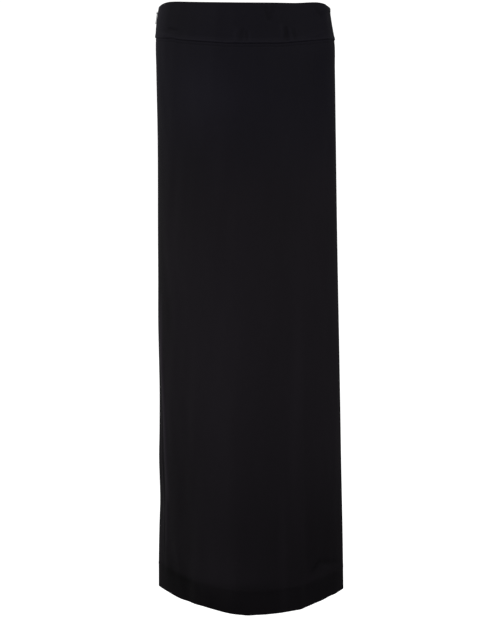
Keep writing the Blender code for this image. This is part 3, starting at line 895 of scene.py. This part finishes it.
def make_waistband(node, side, material):
    """A wall from the top edge, which is a fold, to the seam. Its half thickness falls
    to nothing at the edges as a quarter circle does. The ridge ends by one over one
    plus e to the power of the height past the allowance. The puckers are a quick wave
    along the seam with slow changes of pace and height."""
    place = columns(BAND_COLUMNS)[:, None]
    top = edge_below(TOP_EDGE, side, place)
    foot = edge_below(BAND_SEAM, side, place)
    below = rows_between(top, foot, NEAR_EDGE, NEAR_SEAM, BAND_ROWS)
    wide = np.broadcast_to(place, below.shape)
    half = BAND_CLOTH / 2
    thick = half * round_edge(below - top, half) * round_edge(foot - below, 1.5 * half)
    thick = thick * round_edge((1 - np.abs(wide)) * HALF_CUT, half)
    up = foot - below
    ridge = RIDGE / (1 + np.exp((up - ALLOWANCE) / RIDGE_EDGE)) * np.clip(up / RIDGE_FOOT, 0, 1)
    roll = ROLL * bell(up - ROLL_UP, ROLL_SPREAD) * np.clip(up / ROLL_FOOT, 0, 1)
    pucker = np.sin(PUCKER_WAVE * wide + 3 * np.sin(PACE_WAVE * wide))
    pucker = pucker * (0.6 + 0.4 * np.sin(HEIGHT_WAVE * wide))
    rise = ridge + roll + PUCKER * pucker * bell(up, PUCKER_SPREAD)
    depth = half - BAND_PROUD - rise
    # Painted light and shade from creases and patches, then two painted highlights above the seam.
    tone = painted_tone(side, wide, below)
    for above_seam, highlight in PAINTED_HIGHLIGHTS:
        tone = tone + highlight * bell(up - above_seam, PAINTED_HIGHLIGHT_SPREAD)
    cut = (wide * BAND_WIDTH / 2, up + BAND_UP_CLOTH)
    return wall(node + "_cloth", side, wide, below, depth, thick, cut, tone, material, node)


band_crepe = crepe("waistband_crepe", 0.0)
front_band = make_waistband("waistband_front", FRONT, band_crepe)
back_band = make_waistband("waistband_back", BACK, band_crepe)


# ---- The stitching under the waistband
# One row of machine stitches runs all round, just under the waistband's seam,
# and holds the seam's allowances. The thread is black spun polyester.

STITCH_PITCH = 0.0030
STITCH_LENGTH = 0.0024
STITCH_DEPTH = 0.00026
STITCH_SHARE = np.linspace(-0.5, 0.5, 5)
SEWN_TO = 0.985
THREAD_RADIUS = 0.00022
THREAD_DEEP, THREAD_PALE = (0.007, 0.006, 0.008, 1), (0.014, 0.012, 0.016, 1)
HALF_NAMES = {FRONT: "front", BACK: "back"}
on_panel = {FRONT: [], BACK: []}

# Spun thread, whose twist shows.
thread = Finish("black_thread", Roughness=0.7, Specular_IOR_Level=0.12)
twist = thread.noise(thread.stretched(thread.where(), 1.0, 1.0, 3.0), 2600.0)
thread.feed("Base Color", thread.mix(twist, THREAD_DEEP, THREAD_PALE))
thread.bump(twist, 0.6, 0.0001)


def strands(paths, out, radius, sides):
    """Tubes along paths of points: a ring of sides points round each, square to the
    path, which starts from the outward direction."""
    ahead = np.gradient(paths, axis=1)
    aside = np.cross(np.broadcast_to(out, paths.shape), ahead)
    aside /= np.linalg.norm(aside, axis=-1, keepdims=True)
    up = np.cross(ahead, aside)
    up /= np.linalg.norm(up, axis=-1, keepdims=True)
    turn = np.linspace(0, 2 * np.pi, sides, endpoint=False)[:, None]
    ring = up[:, :, None] * np.cos(turn) + aside[:, :, None] * np.sin(turn)
    return paths[:, :, None] + ring * np.broadcast_to(radius, paths.shape[:2])[..., None, None]


def strand_piece(name, tubes, material):
    """Tubes, each a stack of rings with an even number of sides, as one piece. Each end
    is closed by quads from side to side."""
    count, _, sides = tubes.shape[:3]
    one = numbered(tubes[0])
    quads = [grid_faces(one, closed=True)]
    k = np.arange(sides // 2 - 1)
    for ring, way in ((one[0], -1), (one[-1], 1)):
        ends = np.stack([ring[k], ring[k + 1], ring[sides - 2 - k], ring[sides - 1 - k]], axis=1)
        quads.append(ends[:, ::way])
    quads = np.concatenate(quads) + np.arange(count)[:, None, None] * one.size
    quads = faced_outwards(tubes, quads.reshape(-1, 4))
    return fit(new_piece(name, tubes, quads, material))


def sew(name, side, paths, out, radius, sides=6):
    """A piece of one or many threads along paths, on the panel of a side."""
    tubes = strands(paths, out, radius, sides)
    on_panel[side].append(strand_piece(name, tubes, thread.material))


def stitches(side, place, below, depth, along_seam, facing):
    """The path of one short bowed thread at each place: straight along the seam, and
    outwards by a half wave. along_seam: the step of place and of below that it takes."""
    middle = cloth_point(side, place, below, depth)
    step = np.array(along_seam) * STEP
    ahead = cloth_point(side, place + step[0], below + step[1], depth) - middle
    ahead /= np.linalg.norm(ahead, axis=1, keepdims=True)
    out = outward(side, place, below) * facing
    bow = THREAD_RADIUS * (np.cos(np.pi * STITCH_SHARE) - 0.6)
    paths = middle[:, None] + ahead[:, None] * (STITCH_SHARE * STITCH_LENGTH)[:, None]
    return paths + out[:, None] * bow[:, None], out[:, None]


STITCH_TAPER = THREAD_RADIUS * np.sqrt(np.cos(np.pi * STITCH_SHARE).clip(0.02))
for side, half in HALF_NAMES.items():
    place = np.linspace(-SEWN_TO, SEWN_TO, int(PANEL_TOP_WIDTH / STITCH_PITCH))
    below = edge_below(BAND_SEAM, side, place) + STITCHES_UNDER_SEAM
    paths, out = stitches(side, place, below, STITCH_DEPTH, (1, 0), 1)
    sew("band_stitches_" + half, side, paths, out, STITCH_TAPER)


# ---- The side seams' allowances
# Inside each side seam, 15 mm of the front and of the back are pressed open and
# lie flat on the panels. Their raw edges are overlocked with three threads. At
# the zip's side they start under its tapes.

ALLOWANCE_WIDTH = 0.015
ALLOWANCE_CLOTH = 0.0009
ALLOWANCE_GAP = 0.0002
ALLOWANCE_COLUMNS = 6
ALLOWANCE_ROWS = 120
UNDER_ZIP, UNDER_SEAM, ABOVE_TURN_UP = 0.003, 0.002, 0.004
OVERLOCK_SHORT = 0.001
OVERLOCK_PITCH = 0.0032
OVERLOCK_WIDTH = 0.0036
OVERLOCK_POINTS = 6
LOOPER_RADIUS = 0.7 * THREAD_RADIUS
ZIP_BOTTOM = 0.215


def overlock(name, side, place, below, into, thick, depth):
    """The looper thread of an overlocked edge. Its path winds round the edge as a flat
    screw: from the edge into the cloth by a cosine, and over and under the cloth by
    the root of a sine. into: the step of place and of below that leads into the cloth."""
    turns = (place.size - 1) // OVERLOCK_POINTS
    turn = 2 * np.pi * turns * np.linspace(0, 1, place.size)
    reach = (OVERLOCK_WIDTH + THREAD_RADIUS) * (1 - np.cos(turn)) / 2 - THREAD_RADIUS
    swing = np.sign(np.sin(turn)) * np.sqrt(np.abs(np.sin(turn)))
    depth = depth + (thick / 2 + 0.6 * THREAD_RADIUS) * swing
    place, below = place + reach * into[0] / HALF_CUT, below + reach * into[1]
    path = cloth_point(side, place, below, depth)[None]
    sew(name, side, path, outward(side, place, below)[None], LOOPER_RADIUS, 4)


def make_allowance(name, side, end, top, foot, material):
    """A strip from a side seam inwards, against the panel's inner face. Its half
    thickness falls to nothing at its borders as a quarter circle does."""
    last = NEAR_EDGE[-2]
    even = np.linspace(last, ALLOWANCE_WIDTH - last, ALLOWANCE_COLUMNS)
    across_strip = np.concatenate([AT_EDGE, even, ALLOWANCE_WIDTH - AT_EDGE[::-1]])
    even = np.linspace(top + AT_EDGE[-1], foot - AT_EDGE[-1], ALLOWANCE_ROWS)[1:-1]
    below = np.concatenate([top + AT_EDGE, even, foot - AT_EDGE[::-1]])
    across_strip, below = np.broadcast_arrays(across_strip[:, None], below)
    place = end * (1 - across_strip / HALF_CUT)
    half = ALLOWANCE_CLOTH / 2
    depth = CLOTH + ALLOWANCE_GAP + half
    edge = np.minimum(across_strip, ALLOWANCE_WIDTH - across_strip)
    thick = half * round_edge(edge, half) * round_edge(np.minimum(below - top, foot - below), half)
    cut, tone = (across_strip, 1.0 - below), np.zeros(place.shape)
    strip = wall(name, side, place, below, depth, thick, cut, tone, material)
    on_panel[side].append(strip)
    count = OVERLOCK_POINTS * int((foot - top - 2 * OVERLOCK_SHORT) / OVERLOCK_PITCH) + 1
    edge_line = np.linspace(top + OVERLOCK_SHORT, foot - OVERLOCK_SHORT, count)
    edge_place = np.full(count, end * (1 - ALLOWANCE_WIDTH / HALF_CUT))
    overlock(name + "_overlock", side, edge_place, edge_line, (end, 0), ALLOWANCE_CLOTH, depth)


allowance_crepe = crepe("allowance_crepe", 0.0)
for side, half in HALF_NAMES.items():
    for end, where in ((-1, "left"), (1, "right")):
        top = edge_below(BAND_SEAM, side, 1.0) + UNDER_SEAM if end > 0 else ZIP_BOTTOM + UNDER_ZIP
        foot = HEM_EDGE.side + end * HEM_EDGE.right_lower - HEM_TURN_UP - ABOVE_TURN_UP
        make_allowance(f"{where}_allowance_{half}", side, end, top, foot, allowance_crepe)


# ---- The hem's sewing
# The raw edge of the turned-up cloth is overlocked too. A hand-sewn catch stitch
# crosses it from the turned-up cloth to the panel and back, one thread all the
# way, which takes up only a few fibres of the panel and so hardly shows outside.

CATCH_PITCH = 0.0070
CATCH_REACH = 0.0026
CATCH_ABOVE = 0.001
CATCH_POINTS = 8
CATCH_RADIUS = 0.8 * THREAD_RADIUS
OVERLOCKED_TO = 0.990
HEM_INNER_FACE = 2 * CLOTH + HEM_SLOT

for side, half in HALF_NAMES.items():
    count = OVERLOCK_POINTS * int(PANEL_HEM_WIDTH / OVERLOCK_PITCH) + 1
    place = np.linspace(-OVERLOCKED_TO, OVERLOCKED_TO, count)
    below = edge_below(HEM_EDGE, side, place) - CLOTH - HEM_SLOT / 2 - HEM_TURN_UP
    middle = HEM_INNER_FACE - CLOTH / 2
    overlock("hem_overlock_" + half, side, place, below, (0, 1), CLOTH, middle)
    count = CATCH_POINTS * int(PANEL_HEM_WIDTH / CATCH_PITCH) + 1
    place = np.linspace(-SEWN_TO, SEWN_TO, count)
    swing = np.cos(2 * np.pi * np.arange(count) / CATCH_POINTS)
    below = edge_below(HEM_EDGE, side, place) - HEM_TURN_UP - CATCH_ABOVE + CATCH_REACH * swing
    over, under = HEM_INNER_FACE + 0.7 * THREAD_RADIUS, CLOTH + 0.5 * THREAD_RADIUS
    path = cloth_point(side, place, below, np.where(swing > -0.2, over, under))[None]
    out = outward(side, place, below)[None]
    sew("hem_catch_stitch_" + half, side, path, out, CATCH_RADIUS, 4)


# ---- The zip's tapes and coil
# A concealed zip closes the skirt behind the -X side seam. Each tape is woven
# polyester. The teeth are two nylon coils, sewn to the inner edges of the tapes,
# whose turns lie between each other. Machine stitches hold each tape.

ZIP_TOP = 0.014
TAPE_CLOTH = 0.0010
TAPE_GAP = 0.0004
BEHIND_TAPE = CLOTH + TAPE_GAP + TAPE_CLOTH
TAPE_DEEP, TAPE_PALE = (0.008, 0.008, 0.009, 1), (0.019, 0.018, 0.021, 1)
ZIP_SEWN_IN = 0.0065
ZIP_SEWN_UNDER, ZIP_SEWN_ABOVE = 0.004, 0.003
SLIDER_LENGTH = 0.0104
COIL_TOP = PIVOT_BELOW + SLIDER_LENGTH / 2 - 0.0006
COIL_FOOT = ZIP_BOTTOM - 0.004
COIL_PITCH = 0.00125
COIL_WIRE = 0.00028
COIL_HALF_WIDTH = 0.00095
COIL_HALF_DEPTH = 0.00052
COIL_OFFSET = 0.00058
COIL_POINTS = 10
COIL_DEEP, COIL_PALE = (0.008, 0.008, 0.009, 1), (0.016, 0.015, 0.018, 1)


def dress(node, finish):
    """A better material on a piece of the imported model, whose own shape shows."""
    materials = bpy.data.objects[node].data.materials
    materials.clear()
    materials.append(finish.material)


tape = Finish("woven_tape", Roughness=0.75, Specular_IOR_Level=0.12, Sheen_Weight=0.01)
where = tape.where()
tape_ribs = tape.ribs(where, "Z", 1900.0, 0.4)
tape_cords = tape.ribs(where, "Y", 1100.0, 0.3)
fuzz = tape.noise(where, 3000.0)
tape.feed("Base Color", tape.mix(tape_ribs * 0.6 + fuzz * 0.4, TAPE_DEEP, TAPE_PALE))
tape.bump(tape_ribs * 0.5 + tape_cords * 0.3 + fuzz * 0.2, 0.7, 0.00015)
dress("zip_tape_front", tape)
dress("zip_tape_back", tape)


def seam_frame(below):
    """Points of the -X seam, and there the directions out of it, along Y and up it."""
    place = np.full(below.shape, -1.0)
    here = plain_surface(FRONT, place, below)
    up = plain_surface(FRONT, place, below - STEP) - plain_surface(FRONT, place, below + STEP)
    up /= np.linalg.norm(up, axis=-1, keepdims=True)
    along = np.broadcast_to([0.0, 1.0, 0.0], up.shape)
    return here, np.cross(up, along), along, up


def coil_path(side, top, foot):
    """A flattened screw down the seam, behind the tape's edge: across by a cosine and
    in depth by a sine. The two sides' turns are half a turn apart."""
    turns = (foot - top) / COIL_PITCH
    turn = 2 * np.pi * np.linspace(0, turns, int(turns * COIL_POINTS))
    here, out, along, up = seam_frame(np.linspace(top, foot, turn.size))
    turn = turn * side + (np.pi if side == BACK else 0)
    depth = BEHIND_TAPE + COIL_HALF_DEPTH + COIL_WIRE
    across_seam = side * COIL_OFFSET + COIL_HALF_WIDTH * np.cos(turn)
    inward = depth + COIL_HALF_DEPTH * np.sin(turn)
    return here - out * inward[:, None] + along * across_seam[:, None], up


nylon = Finish("nylon_coil", Roughness=0.42, Specular_IOR_Level=0.35)
drawn = nylon.noise(nylon.stretched(nylon.where(), 1.0, 1.0, 0.3), 1800.0)
nylon.feed("Base Color", nylon.mix(drawn, COIL_DEEP, COIL_PALE))
nylon.feed("Roughness", 0.36 + 0.16 * drawn)
for side, half in HALF_NAMES.items():
    path, up = coil_path(side, COIL_TOP, COIL_FOOT)
    coil = strands(path[None], up[None], COIL_WIRE, 6)
    strand_piece("zip_coil_" + half, coil, nylon.material)
    below = np.arange(ZIP_TOP + ZIP_SEWN_UNDER, ZIP_BOTTOM - ZIP_SEWN_ABOVE, STITCH_PITCH)
    place = np.full(below.shape, ZIP_SEWN_IN / HALF_CUT - 1)
    paths, out = stitches(side, place, below, BEHIND_TAPE, (0, 1), -1)
    sew("zip_stitches_" + half, side, paths, out, STITCH_TAPER)


# ---- The zip's slider, stops and pull tab
# The slider is die-cast and enamelled black. Its body runs on the coil inside and
# a bail reaches out through the seam. A flat tab with rounded edges and a shallow
# thumb rest hangs in the bail by its eye. Small clamped stops end the coil.

PULL_LENGTH = 0.0200
PULL_THICK = 0.0008
PULL_TOP_WIDTH = 0.0042
PULL_END_WIDTH = 0.0056
PULL_CORNER = 0.0018
PULL_EYE_WIDTH = 0.0021
PULL_EYE_LENGTH = 0.0032
PULL_EYE_CORNER = 0.0006
PULL_EDGE = 0.00028
THUMB_REST_SIZE = (0.0017, 0.0042)
THUMB_REST_DOWN = 0.0138
THUMB_REST_DEPTH = 0.00013
STOP_SIZE = np.array([0.0011, 0.0023, 0.0013])
STOP_SQUARE = 0.45
STOP_ASIDE = 0.0014
STOP_SUNK = 0.0002
STOP_DOWN = 0.0158
END_STOP_UP, END_STOP_WIDER = 0.0035, 2.0
ENAMEL_BLACK, ENAMEL_SCUFFED = (0.010, 0.010, 0.011, 1), (0.035, 0.035, 0.037, 1)

enamel = Finish("black_enamel", Roughness=0.3, Specular_IOR_Level=0.5, Coat_Roughness=0.15)
where = enamel.where()
orange_peel = enamel.noise(where, 1400.0, 1.0)
scuffs = enamel.noise(enamel.stretched(where, 1.0, 1.0, 0.35), 700.0, 4.0)
scuffs = enamel.ramp(scuffs, 0.60, 0.72)
enamel.feed("Base Color", enamel.mix(scuffs, ENAMEL_BLACK, ENAMEL_SCUFFED))
enamel.feed("Roughness", 0.26 + 0.30 * scuffs + 0.08 * orange_peel)
enamel.bump(orange_peel, 0.25, 0.00008)
dress("zip_slider", enamel)


def rounded_loop(half_width, low, high, corner):
    """Points round a rectangle with round corners, 6 to a side and 8 to a corner."""
    turn = np.linspace(0, np.pi / 2, 9)[:-1]
    share = np.linspace(0, 1, 7)[:-1, None]
    x, y0, y1 = half_width - corner, low + corner, high - corner
    centres = np.array([(x, y1), (-x, y1), (-x, y0), (x, y0)])
    loop = []
    for k, centre in enumerate(centres):
        angle = turn + k * np.pi / 2
        loop.append(centre + corner * np.stack([np.cos(angle), np.sin(angle)], axis=1))
        square = (k + 1) * np.pi / 2
        reach = corner * np.array([np.cos(square), np.sin(square)])
        start, end = centre + reach, centres[(k + 1) % 4] + reach
        loop.append(start + (end - start) * share)
    return np.concatenate(loop)


def pull_points(pivot, out, along, up):
    """Rings from the tab's outline to its eye and back on the other face. The distance
    from either edge gives the half thickness, which rises as a quarter circle does.
    Less it is a shallow rest for the thumb, which is a bell of the square of an oval."""
    bar = PULL_THICK / 2
    outline = rounded_loop(PULL_END_WIDTH / 2, -PULL_LENGTH, bar, PULL_CORNER)
    rise = (outline[:, 1] + PULL_LENGTH) / (bar + PULL_LENGTH)
    outline[:, 0] *= 1 + (PULL_TOP_WIDTH / PULL_END_WIDTH - 1) * rise
    eye = rounded_loop(PULL_EYE_WIDTH / 2, -bar - PULL_EYE_LENGTH, -bar, PULL_EYE_CORNER)
    wide = np.linalg.norm(eye - outline, axis=1, keepdims=True)
    near = PULL_EDGE * np.array([0, 0.04, 0.15, 0.35, 0.65, 1.0]) + np.zeros(wide.shape)
    middle = np.linspace(0, 1, 13)[1:-1] * (wide - 2 * PULL_EDGE) + PULL_EDGE
    inward = np.concatenate([near, middle, wide - near[:, ::-1]], axis=1)
    flat = outline[:, None] + (eye - outline)[:, None] * (inward / wide)[..., None]
    thick = bar * round_edge(np.minimum(inward, wide - inward), PULL_EDGE)
    oval = (flat + [0, THUMB_REST_DOWN]) / THUMB_REST_SIZE
    thick = thick - THUMB_REST_DEPTH * bell((oval**2).sum(axis=-1), 1.0)
    there = np.concatenate([flat, flat[:, -2:0:-1]], axis=1)
    lift = np.concatenate([thick, -thick[:, -2:0:-1]], axis=1)
    return pivot + there[..., :1] * along + there[..., 1:] * up + lift[..., None] * out


# The tab hangs along the seam from its joint's axis.
pivot = next(joint["pos_m"] for joint in frame["joints"] if joint["name"] == "pull_tab_swing")
here, _, along, _ = seam_frame(PIVOT_BELOW + np.array([0, PULL_LENGTH]))
up = here[0] - here[1]
up /= np.linalg.norm(up)
rings = pull_points(np.array(pivot, float), np.cross(up, along[0]), along[0], up)
number = numbered(rings)
faces = grid_faces(np.concatenate([number, number[:1]]), closed=True)
pull = new_piece("pull_tab_enamelled", rings, faced_outwards(rings, faces), enamel.material)
fit(pull, node="zip_pull", body="pull_tab")


def squared(value):
    """A value's size to a power below 1, with its sign kept."""
    return np.sign(value) * np.abs(value) ** STOP_SQUARE


def stop_points(centre, out, along, up, size):
    """A small block with round edges: a ball whose directions are raised to a power."""
    turn = np.linspace(0, 2 * np.pi, 16, endpoint=False)
    tilt = np.linspace(-np.pi / 2, np.pi / 2, 11)[:, None]
    x = squared(np.cos(tilt)) * squared(np.cos(turn))
    y = squared(np.cos(tilt)) * squared(np.sin(turn))
    z = np.broadcast_to(squared(np.sin(tilt)), x.shape)
    offset = x[..., None] * along * size[0] + z[..., None] * up * size[1] / 2
    return centre + offset + y[..., None] * out * size[2] / 2


stops = []
end_stop = (0, ZIP_BOTTOM - END_STOP_UP, END_STOP_WIDER)
for side, below, wider in ((FRONT, STOP_DOWN, 1), (BACK, STOP_DOWN, 1), end_stop):
    here, out, along, up = (value[0] for value in seam_frame(np.array([below])))
    depth = BEHIND_TAPE + STOP_SIZE[2] / 2 - STOP_SUNK
    centre = here - out * depth + along * side * STOP_ASIDE
    stops.append(stop_points(centre, out, along, up, STOP_SIZE * (wider, 1, 1)))
strand_piece("zip_stops", np.array(stops), enamel.material)


# ---- The halves and what is on their panels
# Each half is one panel and one half of the waistband. The pressed allowances and
# the sewing are on the panels.

for side, panel, band in ((FRONT, front_panel, front_band), (BACK, back_panel, back_band)):
    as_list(on_panel[side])
